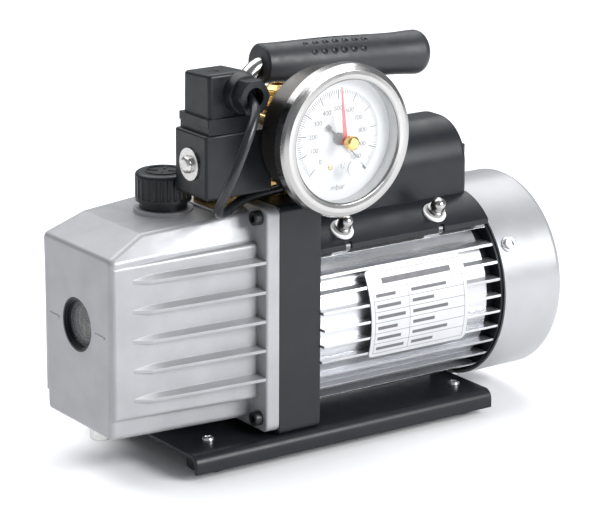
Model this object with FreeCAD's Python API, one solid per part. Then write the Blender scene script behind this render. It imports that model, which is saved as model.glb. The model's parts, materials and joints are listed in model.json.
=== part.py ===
import FreeCAD, Part
import math
import os
from FreeCAD import Vector

# Two-stage rotary vane vacuum pump with its motor, solenoid inlet valve and dial gauge.
# Millimetres, +Z up. X runs along the shaft from the oil tank's front face towards the fan cowl,
# the shaft lies in the plane Y = 0, and the gauge faces -Y. Stations along X are measured from the
# oil tank's front face; export() moves the whole pump so that the origin is on the floor under the
# middle of its outline.

# Driving dimensions
SHAFT_Z = 73.2            # height of the shaft above the floor
COWL_R = 62.0             # fan cowl's outer radius
FIN_R = 60.0              # envelope of the motor's cooling fins
BARREL_R = 53.5           # motor barrel between the fins
BORE_R = 48.0             # motor barrel's bore
BASE_TOP = 16.0           # top of the base plate
BASE_X = (42.5, 258.0)
BASE_HALF = 59.8
TANK_X = (0.0, 93.25)     # cast oil tank, ahead of its flange
FLANGE_X = (93.25, 101.8)
FRAME_X = (102.2, 131.5)  # frame casting between the tank and the motor
FRAME_HALF = 56.2
FRAME_TOP = 154.5
MOTOR_X = (131.5, 263.0)
COWL_X = (265.0, 318.0)
GAUGE_X, GAUGE_Z = 131.0, 194.0
COLUMN_X, COLUMN_Y = 120.0, -30.0   # inlet column on the frame
COIL_Y, COIL_Z = -33.7, 181.5       # axis of the solenoid coil, along X
CAP_X = 59.0                        # oil filler
DRAIN_X = 15.0
SIGHT_Z = 87.7
ROTOR_R = 20.0                      # pump rotors
STATOR_BORE = 23.5
ECCENTRICITY = 3.4                  # rotor centre above the stator bore's centre
CABLE_R = 2.8

KNOB_Y = -88.0                      # front of the gauge's knob
ORIGIN = Vector(COWL_X[1] / 2.0, (KNOB_Y + COWL_R) / 2.0, 0.0)
X_AXIS, Y_AXIS, Z_AXIS = Vector(1, 0, 0), Vector(0, 1, 0), Vector(0, 0, 1)

os.makedirs("parts", exist_ok=True)


# Shape helpers

def export(name, *solids):
    """Write one node's solids, moved to the pump's own origin."""
    pieces = []
    for solid in solids:
        pieces.extend(solid.Solids)
    shape = pieces[0] if len(pieces) == 1 else Part.makeCompound(pieces)
    shape = shape.copy()
    shape.translate(ORIGIN.negative())
    shape.exportStep("parts/%s.step" % name)
    print("%-24s %2d solid(s) %10.1f mm3 valid=%s" % (name, len(pieces), shape.Volume, shape.isValid()))


def block(x0, x1, y0, y1, z0, z1):
    return Part.makeBox(x1 - x0, y1 - y0, z1 - z0, Vector(x0, y0, z0))


def rod_x(x0, x1, radius, y=0.0, z=SHAFT_Z):
    return Part.makeCylinder(radius, x1 - x0, Vector(x0, y, z), X_AXIS)


def rod_y(y0, y1, radius, x, z):
    return Part.makeCylinder(radius, y1 - y0, Vector(x, y0, z), Y_AXIS)


def rod_z(z0, z1, radius, x, y=0.0):
    return Part.makeCylinder(radius, z1 - z0, Vector(x, y, z0), Z_AXIS)


def ring_x(x0, x1, outer, inner, y=0.0, z=SHAFT_Z):
    return rod_x(x0, x1, outer, y, z).cut(rod_x(x0, x1, inner, y, z))


def fuse(first, *others):
    return first.fuse(list(others)).removeSplitter()


def cut(first, *others):
    for other in others:
        first = first.cut(other)
    return first


def polygon(points):
    return Part.Face(Part.makePolygon(list(points) + [points[0]]))


def prism_x(outline, x0, x1):
    """Extrude a (y, z) outline along X."""
    return polygon([Vector(x0, y, z) for y, z in outline]).extrude(Vector(x1 - x0, 0, 0))


def prism_y(outline, y0, y1):
    """Extrude an (x, z) outline along Y."""
    return polygon([Vector(x, y0, z) for x, z in outline]).extrude(Vector(0, y1 - y0, 0))


def prism_z(outline, z0, z1):
    """Extrude an (x, y) outline along Z."""
    return polygon([Vector(x, y, z0) for x, y in outline]).extrude(Vector(0, 0, z1 - z0))


def hexagon(across_flats):
    corner = across_flats / math.sqrt(3.0)
    return [(corner * math.cos(math.radians(60 * i)), corner * math.sin(math.radians(60 * i)))
            for i in range(6)]


def hex_x(x0, x1, across_flats, y, z):
    return prism_x([(y + a, z + b) for a, b in hexagon(across_flats)], x0, x1)


def hex_y(y0, y1, across_flats, x, z):
    return prism_y([(x + a, z + b) for a, b in hexagon(across_flats)], y0, y1)


def hex_z(z0, z1, across_flats, x, y):
    return prism_z([(x + a, y + b) for a, b in hexagon(across_flats)], z0, z1)


def turned_x(profile, y=0.0, z=SHAFT_Z):
    """Turn an (x, radius) outline about an axis along X."""
    face = polygon([Vector(x, y, z + r) for x, r in profile])
    return face.revolve(Vector(0, y, z), X_AXIS, 360)


def turned_y(profile, x, z):
    """Turn a (y, radius) outline about an axis along Y."""
    face = polygon([Vector(x, y, z + r) for y, r in profile])
    return face.revolve(Vector(x, 0, z), Y_AXIS, 360)


def turned_z(profile, x, y=0.0):
    """Turn a (z, radius) outline about an axis along Z."""
    face = polygon([Vector(x + r, y, z) for z, r in profile])
    return face.revolve(Vector(x, y, 0), Z_AXIS, 360)


def round_edges(shape, radius, wanted):
    """Fillet the edges that the test picks."""
    edges = [edge for edge in shape.Edges if wanted(edge)]
    return shape.makeFillet(radius, edges) if edges else shape


def along(direction):
    """Edge test: straight and parallel to a direction."""
    def test(edge):
        if not isinstance(edge.Curve, Part.Line):
            return False
        return abs(abs(edge.Curve.Direction.normalize().dot(direction)) - 1.0) < 1e-6
    return test


def all_edges(edge):
    return edge.Length > 0.0


def mirrored(shape):
    return shape.mirror(Vector(0, 0, 0), Y_AXIS)


def placed_on_circle(make, count, start_deg):
    """Copies of make() turned about the shaft."""
    copies = []
    for i in range(count):
        piece = make()
        piece.rotate(Vector(0, 0, SHAFT_Z), X_AXIS, start_deg + i * 360.0 / count)
        copies.append(piece)
    return copies


def socket_screw_x(x_head, y, z, head_r, head_len, shank_r, shank_len):
    """Socket head screw whose head points to -X."""
    head = rod_x(x_head - head_len, x_head, head_r, y, z)
    head = head.makeChamfer(0.5, [e for e in head.Edges if abs(e.CenterOfMass.x - x_head + head_len) < 1e-6])
    socket = hex_x(x_head - head_len, x_head - head_len * 0.45, head_r, y, z)
    return fuse(head, rod_x(x_head, x_head + shank_len, shank_r, y, z)).cut(socket)


def pan_screw_z(z_seat, x, y, head_r, head_len, shank_r, shank_len):
    """Pan head screw with a cross recess, head up."""
    head = rod_z(z_seat, z_seat + head_len, head_r, x, y)
    head = head.makeFillet(head_len * 0.6, [e for e in head.Edges if abs(e.CenterOfMass.z - z_seat - head_len) < 1e-6])
    slot = 0.16 * head_r
    reach = 0.6 * head_r
    depth = 0.5 * head_len
    top = z_seat + head_len
    cross = fuse(block(x - reach, x + reach, y - slot, y + slot, top - depth, top + 1),
                 block(x - slot, x + slot, y - reach, y + reach, top - depth, top + 1))
    return fuse(head, rod_z(z_seat - shank_len, z_seat, shank_r, x, y)).cut(cross)


# Base

FOOT_XY = [(64.0, -38.5), (64.0, 38.5), (244.5, -38.5), (244.5, 38.5)]
FRAME_BOLT_XY = [(109.0, -41.0), (109.0, 41.0), (125.0, -41.0), (125.0, 41.0)]
PLATE_T = 2.5
SCREW_R = 2.2


def base_plate():
    """Folded sheet: a flat top with both long sides turned down."""
    bottom = 5.0
    outer = round_edges(block(*BASE_X, -BASE_HALF, BASE_HALF, bottom, BASE_TOP), 6.0,
                        lambda e: along(X_AXIS)(e) and e.CenterOfMass.z > BASE_TOP - 1)
    outer = round_edges(outer, 0.8, along(Z_AXIS))
    inner = block(BASE_X[0] - 1, BASE_X[1] + 1, -BASE_HALF + PLATE_T, BASE_HALF - PLATE_T,
                  bottom - 1, BASE_TOP - PLATE_T)
    inner = round_edges(inner, 6.0 - PLATE_T, lambda e: along(X_AXIS)(e) and e.CenterOfMass.z > bottom)
    plate = outer.cut(inner)
    for x, y in FOOT_XY + FRAME_BOLT_XY:
        plate = plate.cut(rod_z(0, 30, SCREW_R, x, y))
    return plate


def rubber_foot(x, y):
    top = BASE_TOP - PLATE_T
    return turned_z([(0.0, 5.0), (0.0, 11.0), (1.5, 12.5), (top, 12.5), (top, SCREW_R), (6.0, SCREW_R),
                     (6.0, 5.0)], x, y)


# Oil tank and its fittings

TANK_WALL = 4.0
TANK_SHOULDER = 133.5                # top of the side panels
DRAIN_SEAT = 25.2
RIB_Z = [120.6, 102.9, 85.3, 67.8, 50.3]
TANK_SCREWS = [(-48.5, 148.0), (48.5, 148.0), (-48.5, 27.0), (48.5, 27.0)]


def loft(sections):
    return Part.makeLoft([Part.makePolygon(points + [points[0]]) for points in sections], True, True)


def tank_section(x, low, shoulder, top):
    """Six-sided section; each argument is a (half width, height) corner."""
    right = [low, shoulder, top]
    return [Vector(x, -y, z) for y, z in right] + [Vector(x, y, z) for y, z in reversed(right)]


def tank_body(inset=0.0):
    """Drafted box with a bevelled top front edge; inset gives the cavity inside the wall."""
    def corner(half, height, drop):
        return half - inset, height - drop * inset
    front = tank_section(inset, corner(36.0, 27.0, -1), corner(38.6, 132.0, 1), corner(36.8, 134.0, 1))
    bend = tank_section(24.0, corner(36.6, 26.2, -1), corner(39.6, 133.0, 1), corner(31.7, 145.0, 1))
    rear = tank_section(TANK_X[1], corner(39.4, 25.0, -1), corner(42.6, TANK_SHOULDER, 1), corner(38.0, 149.5, 1))
    nose = loft([front, bend])
    barrel = loft([bend, rear])
    if inset == 0.0:
        nose = round_edges(nose, 3.5, lambda e: e.BoundBox.XMax < 23.9 or e.BoundBox.XMin < 1.0)
        barrel = round_edges(barrel, 3.5, lambda e: e.BoundBox.XLength > 60.0)
    return nose.fuse(barrel)


def side_panel():
    """Raised panel on the -Y side, flush at the front and standing proud at the flange."""
    front_x, rear_x = 0.8, TANK_X[1] + 1.0
    front = [Vector(front_x, -38.7, 38.8), Vector(front_x, -38.7, 130.0),
             Vector(front_x, -30.0, 130.0), Vector(front_x, -30.0, 38.8)]
    rear = [Vector(rear_x, -47.0, 38.2), Vector(rear_x, -47.0, 132.5),
            Vector(rear_x, -30.0, 132.5), Vector(rear_x, -30.0, 38.2)]
    return round_edges(loft([front, rear]), 2.5, lambda e: e.CenterOfMass.y < -36.0)


def side_rib(z):
    """Blade that starts as a point on the panel and grows until it meets the flange's edge."""
    def section(x, y_out, z_edge, z_top, z_low):
        return [Vector(x, y_out, z_edge - 0.9), Vector(x, y_out, z_edge + 0.9),
                Vector(x, -38.0, z_top), Vector(x, -38.0, z_low)]
    start = section(11.0, -39.2, z, z + 4.0, z - 1.5)
    kink = section(24.0, -43.0, z - 1.2, z + 6.5, z - 2.8)
    end = section(TANK_X[1] + 1.0, -55.4, z + 1.8, z + 4.7, z - 0.4)
    return fuse(loft([start, kink]), loft([kink, end]))


def oil_tank():
    """Cast tank: body, side panels, ribs, flange, filler boss and drain boss, open to the frame."""
    half = FRAME_HALF
    flange = block(*FLANGE_X, -half, half, 19.0, 154.2)
    flange = round_edges(flange, 5.0, lambda e: along(X_AXIS)(e))
    flange = round_edges(flange, 1.5, lambda e: e.CenterOfMass.x < FLANGE_X[0] + 0.1)
    tank = tank_body().fuse(flange)
    for z in RIB_Z:
        rib = side_rib(z)
        tank = tank.fuse([rib, mirrored(rib)])
    panel = side_panel()
    tank = tank.fuse([panel, mirrored(panel)])
    filler_boss = rod_z(138.0, 149.0, 17.5, CAP_X)
    pad = round_edges(block(75.0, 94.0, -35.0, 1.0, 140.0, 150.0), 1.5,
                      lambda e: e.CenterOfMass.z > 149.0 or along(Z_AXIS)(e))
    drain_boss = rod_z(DRAIN_SEAT, 34.0, 9.0, DRAIN_X)
    sight_boss = rod_x(2.0, 9.7, 19.5, 0, SIGHT_Z)
    tank = tank.fuse([filler_boss, pad])
    cavity = tank_body(TANK_WALL)
    room = block(TANK_X[1] - 0.5, FLANGE_X[1] + 1, -36.0, 36.0, 34.0, 142.0)
    tank = cut(tank, cavity, room).fuse([drain_boss, sight_boss])
    tank = cut(tank, rod_z(100.0, 160.0, 12.0, CAP_X), rod_z(0.0, 60.0, 5.0, DRAIN_X),
               rod_x(-5.0, 8.0, 16.0, 0, SIGHT_Z), rod_x(0.0, 30.0, 12.5, 0, SIGHT_Z))
    for y, z in TANK_SCREWS:
        tank = tank.cut(rod_x(0.0, 120.0, 2.6, y, z))
        tank = tank.cut(rod_x(0.0, FLANGE_X[0], 4.6, y, z))
    for side in (-1, 1):
        mark = block(-0.5, 1.0, -5.2, 5.2, -0.7, 0.7)
        mark.translate(Vector(0, side * 25.2, SIGHT_Z - 0.6))
        tank = tank.fuse(mark)
    return tank


def sight_glass_ring():
    """Screwed ring with turned steps that clamps the glass."""
    profile = [(0.4, 15.9), (8.0, 15.9), (8.0, 11.2), (5.6, 11.2), (5.6, 12.9), (3.0, 12.9),
               (3.0, 13.9), (1.4, 13.9), (1.4, 14.9), (0.4, 14.9)]
    return turned_x(profile, 0.0, SIGHT_Z)


def sight_glass():
    return rod_x(3.6, 5.6, 12.9, 0, SIGHT_Z)


def oil_metering_valve():
    """Brass sleeve and collar on the pump's end plate, just behind the sight glass."""
    y, z = 13.0, SIGHT_Z - 8.5
    sleeve = rod_x(13.0, STAGE_X[0], 6.5, y, z)
    collar = ring_x(10.0, 13.0, 6.0, 3.4, y, z)
    return fuse(sleeve, collar)


NECK_TOP = 153.0
CAP_R = 16.4
CAP_TOP = 170.3


def oil_filler_neck():
    neck = turned_z([(141.0, 8.6), (141.0, 11.9), (149.0, 11.9), (149.0, 14.0), (NECK_TOP, 14.0),
                     (NECK_TOP, 8.6)], CAP_X)
    return neck


def filler_cap_seal():
    return turned_z([(NECK_TOP, 10.0), (NECK_TOP, 13.0), (NECK_TOP + 1.5, 13.0), (NECK_TOP + 1.5, 10.0)], CAP_X)


def oil_filler_cap():
    """Screw cap with a grooved rim and a plug that reaches down the neck."""
    low = NECK_TOP + 0.5
    head = rod_z(low, CAP_TOP, CAP_R, CAP_X)
    head = round_edges(head, 2.6, lambda e: e.CenterOfMass.z > CAP_TOP - 0.1)
    grooves = 26
    for i in range(grooves):
        angle = 2 * math.pi * i / grooves
        x = CAP_X + (CAP_R + 0.5) * math.cos(angle)
        y = (CAP_R + 0.5) * math.sin(angle)
        head = head.cut(rod_z(low + 2.2, CAP_TOP - 2.4, 1.15, x, y))
    seal_groove = turned_z([(low - 1, 9.4), (low - 1, 13.6), (NECK_TOP + 1.7, 13.6), (NECK_TOP + 1.7, 9.4)], CAP_X)
    return fuse(head.cut(seal_groove), rod_z(142.5, low + 3, 8.2, CAP_X))


def drain_seal():
    return turned_z([(DRAIN_SEAT - 1.5, 5.2), (DRAIN_SEAT - 1.5, 7.2), (DRAIN_SEAT, 7.2), (DRAIN_SEAT, 5.2)], DRAIN_X)


def drain_plug():
    """Screw plug with a hexagon socket underneath."""
    seat = DRAIN_SEAT - 1.6
    low = 16.2
    head = rod_z(low, seat, 6.8, DRAIN_X)
    head = round_edges(head, 1.0, lambda e: e.CenterOfMass.z < low + 0.1)
    head = head.cut(hex_z(low - 1, low + 4.0, 6.0, DRAIN_X, 0.0))
    return fuse(head, rod_z(seat, 37.0, 4.6, DRAIN_X))


def tank_gasket():
    outline = block(FLANGE_X[1], FRAME_X[0], -FRAME_HALF + 0.5, FRAME_HALF - 0.5, 19.5, 153.7)
    window = block(FLANGE_X[1] - 1, FRAME_X[0] + 1, -40.0, 40.0, 33.0, 143.0)
    sheet = outline.cut(window)
    for y, z in TANK_SCREWS:
        sheet = sheet.cut(rod_x(FLANGE_X[1] - 1, FRAME_X[0] + 1, 2.6, y, z))
    return sheet


# Two-stage pump module inside the tank

STAGE_X = (32.0, 40.0, 58.0, 66.0, FRAME_X[0])     # end plate, second stage, centre plate, first stage
STATOR_HALF, STATOR_Z = 31.0, (41.0, 106.0)
PUMP_BOLTS = [(-25.5, 47.5), (25.5, 47.5), (-25.5, 100.0), (25.5, 100.0)]
INLET_DRILL_Y, INLET_DRILL_Z = -15.0, 100.0
SHAFT_R = 8.0
FIT = 0.05                                         # running clearance on the radius
VANE_T = 4.8
COUPLING_X = (114.0, 127.0)
SHAFT_JOINT_X = 120.0
EXHAUST_Y = 8.0


def stage_block(x0, x1):
    piece = block(x0, x1, -STATOR_HALF, STATOR_HALF, *STATOR_Z)
    piece = round_edges(piece, 5.0, along(X_AXIS))
    for y, z in PUMP_BOLTS:
        piece = piece.cut(rod_x(x0 - 1, x1 + 1, 2.6, y, z))
    return piece


def stator(x0, x1):
    """Ring with an eccentric bore and an exhaust port that leads up to its leaf valve."""
    bore = rod_x(x0 - 1, x1 + 1, STATOR_BORE, 0.0, SHAFT_Z - ECCENTRICITY)
    port = rod_z(85.0, STATOR_Z[1] + 1, 2.5, (x0 + x1) / 2.0, EXHAUST_Y)
    return cut(stage_block(x0, x1), bore, port)


def first_stage_stator():
    x0, x1 = STAGE_X[3], STAGE_X[4]
    inlet = rod_x(84.0, x1 + 1, 3.0, INLET_DRILL_Y, INLET_DRILL_Z)
    drop = rod_z(80.0, INLET_DRILL_Z, 3.0, 86.0, INLET_DRILL_Y)
    return cut(stator(x0, x1), inlet, drop)


def stage_plates():
    """End plate and centre plate, which carry the pump shaft."""
    plates = []
    for x0, x1 in ((STAGE_X[0], STAGE_X[1]), (STAGE_X[2], STAGE_X[3])):
        plates.append(stage_block(x0, x1).cut(rod_x(x0 - 1, x1 + 1, SHAFT_R + FIT)))
    return plates


def exhaust_stops():
    """Clamp and stop plate over each leaf valve."""
    stops = []
    top = STATOR_Z[1]
    for x0, x1 in ((STAGE_X[1], STAGE_X[2]), (STAGE_X[3], STAGE_X[4])):
        mid = (x0 + x1) / 2.0
        outline = [(-14.0, top), (-2.5, top), (-2.5, top + 3.0), (14.0, top + 4.2), (14.0, top + 5.4),
                   (-14.0, top + 4.2)]
        stops.append(prism_x(outline, mid - 8.0, mid + 8.0))
    return stops


def exhaust_leaves():
    leaves = []
    for x0, x1 in ((STAGE_X[1], STAGE_X[2]), (STAGE_X[3], STAGE_X[4])):
        mid = (x0 + x1) / 2.0
        leaves.append(block(mid - 7.0, mid + 7.0, -2.0, 13.5, STATOR_Z[1], STATOR_Z[1] + 0.4))
    return leaves


def pump_rotor():
    """Both rotors on one shaft, slotted across for the vanes."""
    gap = FIT
    rotor = rod_x(STAGE_X[0] + 1.0, SHAFT_JOINT_X, SHAFT_R)
    for x0, x1 in ((STAGE_X[1], STAGE_X[2]), (STAGE_X[3], STAGE_X[4])):
        disc = rod_x(x0 + gap, x1 - gap, ROTOR_R)
        rotor = rotor.fuse(disc)
        for side in (-1, 1):
            y0, y1 = sorted((side * 6.0, side * (ROTOR_R + 1)))
            slot = block(x0 + gap, x1 - gap, y0, y1, SHAFT_Z - VANE_T / 2 - 0.05, SHAFT_Z + VANE_T / 2 + 0.05)
            rotor = rotor.cut(slot)
    return rotor


def vanes():
    """Four vanes, drawn back flush with the rotors."""
    pieces = []
    for x0, x1 in ((STAGE_X[1], STAGE_X[2]), (STAGE_X[3], STAGE_X[4])):
        for side in (-1, 1):
            y0, y1 = sorted((side * 7.0, side * (ROTOR_R - 0.3)))
            pieces.append(block(x0 + 0.1, x1 - 0.1, y0, y1, SHAFT_Z - VANE_T / 2, SHAFT_Z + VANE_T / 2))
    return pieces


# Frame casting

HANDLE_X = 112.0
HANDLE_R = 5.2


def frame_casting():
    """Upright casting that carries the pump, tank, motor, handle and inlet column."""
    half = FRAME_HALF
    frame = block(*FRAME_X, -half, half, BASE_TOP, FRAME_TOP)
    frame = round_edges(frame, 4.0, along(X_AXIS))
    frame = round_edges(frame, 1.2, lambda e: abs(e.CenterOfMass.x - FRAME_X[1]) < 0.01)
    chamber = rod_x(COUPLING_X[0] - 1.5, FRAME_X[1] + 1, 30.0)
    seal_seat = rod_x(105.0, COUPLING_X[0], 16.0)
    frame = cut(frame, chamber, seal_seat, rod_x(100.0, 110.0, SHAFT_R + FIT))
    frame = cut(frame, rod_z(INLET_DRILL_Z, FRAME_TOP + 1, 4.0, COLUMN_X, COLUMN_Y + 2.0),
                rod_y(COLUMN_Y, INLET_DRILL_Y, 3.0, COLUMN_X, INLET_DRILL_Z),
                rod_x(FRAME_X[0] - 1, COLUMN_X, 3.0, INLET_DRILL_Y, INLET_DRILL_Z),
                rod_z(138.0, FRAME_TOP + 1, HANDLE_R, HANDLE_X))
    for y, z in TANK_SCREWS:
        frame = frame.cut(rod_x(FRAME_X[0] - 1, 121.0, 2.5, y, z))
    for y, z in PUMP_BOLTS:
        frame = frame.cut(rod_x(FRAME_X[0] - 1, 111.5, 2.5, y, z))
    for x, y in FRAME_BOLT_XY:
        frame = frame.cut(rod_z(BASE_TOP - 1, 31.0, 2.2, x, y))
    return frame


def shaft_seal():
    return ring_x(106.0, COUPLING_X[0] - 1.5, 16.0, SHAFT_R + FIT)


def machine_bolts():
    """Screws that hold the frame to the base plate, and the through bolts of the pump module."""
    bolts = []
    under = BASE_TOP - PLATE_T
    for x, y in FRAME_BOLT_XY:
        head = rod_z(under - 4.0, under, 4.0, x, y).cut(hex_z(under - 5.0, under - 2.0, 4.0, x, y))
        bolts.append(fuse(head, rod_z(under, 30.0, 2.2, x, y)))
    for y, z in PUMP_BOLTS:
        bolts.append(socket_screw_x(STAGE_X[0], y, z, 4.2, 4.0, 2.5, 79.0))
    return bolts


def tank_screws():
    return [socket_screw_x(FLANGE_X[0], y, z, 4.3, 5.0, 2.5, 26.0) for y, z in TANK_SCREWS]


# Motor

FIN_PITCH, FIN_T = 10.0, 1.6
FIN_STEPS = range(-5, 5)
FIN_OFFSET = 2.5
STUD_X = (154.6, 222.9)
STUD_SEAT = (-43.5, 129.6)               # where a stud meets the outside of the cover's skirt
PLATE_X = (165.0, 237.0)
BEARING_X = (138.0, 255.0)               # middles of the two shaft bearings
BEARING_W, BEARING_BORE, BEARING_OD = 11.0, 7.5, 17.5
BALL_R, BALL_PITCH, BALLS = 3.0, 12.5, 8
LUG_START = 59.5
COWL_SCREW_X = 272.5
BARREL_END = 257.0                       # the fins run on past the barrel, over the rear shield
SPIGOT_R = 51.3


def motor_housing():
    """Extruded barrel with level cooling fins on both sides, a pad under the cover and a foot."""
    x0, x1 = MOTOR_X
    barrel = rod_x(x0, BARREL_END, BARREL_R)
    envelope = ring_x(x0, x1, FIN_R, BARREL_R - 2.0)
    slabs = []
    for step in FIN_STEPS:
        z = SHAFT_Z + FIN_OFFSET + FIN_PITCH * step
        slabs.append(block(x0, x1, -FIN_R, FIN_R, z - FIN_T / 2, z + FIN_T / 2))
    fins = Part.makeCompound(slabs).common(envelope)
    pad = block(142.0, 250.0, -33.0, 33.0, 115.0, 128.0)
    foot = block(x0, BARREL_END - 12.0, -14.0, 14.0, BASE_TOP, 24.0)
    lugs = []
    for x in STUD_X:
        outline = [(-28.0, 112.0), (-43.5, 116.6), (-46.0, 120.0), (-46.0, 123.6), (-41.5, 127.4), (-36.5, 129.8),
                   (-28.0, 131.8)]
        lug = prism_x(outline, x - 6.0, x + 6.0)
        lugs.extend([lug, mirrored(lug)])
    body = barrel.fuse([pad, foot] + lugs + fins.Solids)
    bore = rod_x(x0 - 1, x1 + 1, BORE_R)
    body = body.cut(bore)
    for x in STUD_X:
        stud = cover_stud(x, 2.0, -18.0, 6.0)
        body = cut(body, stud, mirrored(stud))
    return body


def cover_stud(x, radius, start, end):
    """Cylinder square to the cover's skirt at a nut, from start to end outside the skirt."""
    normal = Vector(0, -0.55, 0.835).normalize()
    seat = Vector(x, *STUD_SEAT)
    return Part.makeCylinder(radius, end - start, seat + normal * start, normal)


def end_shields():
    """Front and rear shields that centre the shaft bearings in the barrel."""
    front = rod_x(MOTOR_X[0], 146.0, BORE_R)
    front = cut(front, rod_x(BEARING_X[0] - BEARING_W / 2, 150.0, BEARING_OD), rod_x(130.0, 150.0, 12.0),
                ring_x(137.0, 150.0, BORE_R - 5.0, 24.0))
    rear = fuse(rod_x(246.0, 267.0, 24.0), rod_x(MOTOR_X[1], 267.0, COWL_R - 2.0),
                rod_x(BARREL_END + 0.2, MOTOR_X[1], SPIGOT_R), ring_x(246.0, MOTOR_X[1], BORE_R, BORE_R - 5.0))
    rear = cut(rear, rod_x(240.0, BEARING_X[1] + BEARING_W / 2, BEARING_OD), rod_x(240.0, 270.0, 12.0),
               ring_x(250.0, BEARING_X[1] + BEARING_W / 2, BORE_R - 5.0, 24.0))
    def lug():
        return block(263.4, 276.0, -5.5, 5.5, SHAFT_Z + 44.0, SHAFT_Z + COWL_R - 2.0)
    rear = rear.fuse(placed_on_circle(lug, 3, LUG_START))
    rear = rear.cut(ring_x(262.0, 280.0, 70.0, COWL_R - 1.9))
    for hole in placed_on_circle(lambda: rod_z(SHAFT_Z + 50.0, SHAFT_Z + 70.0, 1.8, COWL_SCREW_X), 3, LUG_START):
        rear = rear.cut(hole)
    return [front, rear]


def motor_stator():
    """Lamination pack and the two rings of end windings."""
    core = ring_x(165.0, 225.0, BORE_R, 27.6)
    turns = [turned_x([(x, 31.0), (x, 42.0), (x + 4.0, 44.5), (x + 10.0, 44.5), (x + 14.0, 42.0),
                       (x + 14.0, 31.0)]) for x in (151.0, 225.0)]
    return [core] + turns


def motor_rotor():
    """Shaft and the squirrel-cage core pressed on it."""
    shaft = turned_x([(SHAFT_JOINT_X, 0.0), (SHAFT_JOINT_X, SHAFT_R), (BEARING_X[0] - 5.5, SHAFT_R),
                      (BEARING_X[0] - 5.5, BEARING_BORE), (BEARING_X[0] + 5.5, BEARING_BORE),
                      (BEARING_X[0] + 5.5, 9.5), (BEARING_X[1] - 5.5, 9.5), (BEARING_X[1] - 5.5, BEARING_BORE),
                      (BEARING_X[1] + 5.5, BEARING_BORE), (BEARING_X[1] + 5.5, 7.0), (299.0, 7.0), (299.0, 0.0)])
    core = ring_x(165.0, 225.0, 27.2, 9.5)
    return [shaft, core]


def bearing_rings(inner, outer):
    rings = []
    for x in BEARING_X:
        ring = ring_x(x - BEARING_W / 2, x + BEARING_W / 2, outer, inner)
        groove = Part.makeTorus(BALL_PITCH, BALL_R + FIT, Vector(x, 0, SHAFT_Z), X_AXIS)
        rings.append(ring.cut(groove))
    return rings


def bearing_cages():
    """Balls and the ribbon cages that space them."""
    pieces = []
    for x in BEARING_X:
        cage = ring_x(x - 3.4, x + 3.4, 13.2, 11.8)
        for i in range(BALLS):
            angle = 2 * math.pi * i / BALLS
            centre = Vector(x, BALL_PITCH * math.cos(angle), SHAFT_Z + BALL_PITCH * math.sin(angle))
            pieces.append(Part.makeSphere(BALL_R, centre))
            cage = cage.cut(Part.makeSphere(BALL_R + 0.02, centre))
        pieces.extend(cage.Solids)
    return pieces


def shaft_coupling():
    return ring_x(*COUPLING_X, 13.0, SHAFT_R)


def cooling_fan():
    """Hub and straight radial blades behind a backing disc."""
    x0, x1 = 280.0, 298.0
    hub = rod_x(x0, x1, 12.0)
    disc = rod_x(x0, x0 + 2.0, 50.0)
    blades = placed_on_circle(lambda: block(x0 + 1, x1 - 2, -1.0, 1.0, SHAFT_Z + 10.0, SHAFT_Z + 50.0), 9, 0)
    return fuse(hub, disc, *blades).cut(rod_x(x0 - 1, x1 + 1, 7.0))


def dome(x_rim, radius, x_edge, x_crown, crown_r, x_tip):
    """Half section of the cowl turned about the shaft: straight wall, tight corner, shallow dome."""
    def point(x, r):
        return Vector(x, 0, SHAFT_Z + r)
    corner = 4.0
    flat = 8.0
    corner_mid = point(x_edge + corner * 0.68, radius - corner * 0.27)
    corner_end = point(x_edge + corner * 1.05, radius - corner)
    edges = [Part.makeLine(point(x_rim, 0), point(x_rim, radius)),
             Part.makeLine(point(x_rim, radius), point(x_edge, radius)),
             Part.Arc(point(x_edge, radius), corner_mid, corner_end).toShape(),
             Part.Arc(corner_end, point(x_crown, crown_r), point(x_tip, flat)).toShape(),
             Part.makeLine(point(x_tip, flat), point(x_tip, 0)),
             Part.makeLine(point(x_tip, 0), point(x_rim, 0))]
    return Part.Face(Part.Wire(edges)).revolve(Vector(0, 0, SHAFT_Z), X_AXIS, 360)


def fan_cowl():
    """Pressed cowl with rings of air slots in its end."""
    wall = 1.5
    rim, tip = COWL_X
    shell = dome(rim, COWL_R, 306.3, 315.8, 32.0, tip)
    room = dome(rim - 1.0, COWL_R - wall, 305.8, 314.3, 31.0, tip - wall)
    slots = [ring_x(300.0, 320.0, r + 3.4, r) for r in (14.0, 22.0, 30.0, 38.0, 46.0)]
    slots = slots[0].fuse(slots[1:])
    bars = placed_on_circle(lambda: block(299.0, 321.0, -3.0, 3.0, SHAFT_Z, SHAFT_Z + 60.0), 6, 30)
    cowl = shell.cut(room).cut(slots.cut(bars[0].fuse(bars[1:])))
    holes = placed_on_circle(lambda: rod_z(SHAFT_Z + 55.0, SHAFT_Z + 66.0, 2.4, COWL_SCREW_X), 3, LUG_START)
    return cut(cowl, *holes)


def cowl_screws():
    def screw():
        seat = SHAFT_Z + COWL_R + 0.1
        washer = rod_z(seat, seat + 1.0, 4.6, COWL_SCREW_X)
        head = hex_z(seat + 1.0, seat + 3.6, 7.0, COWL_SCREW_X, 0.0)
        head = head.cut(rod_z(seat + 2.4, seat + 4.0, 2.2, COWL_SCREW_X))
        return fuse(washer, head, rod_z(SHAFT_Z + 52.0, seat, 1.8, COWL_SCREW_X))
    return placed_on_circle(screw, 3, LUG_START)


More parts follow.
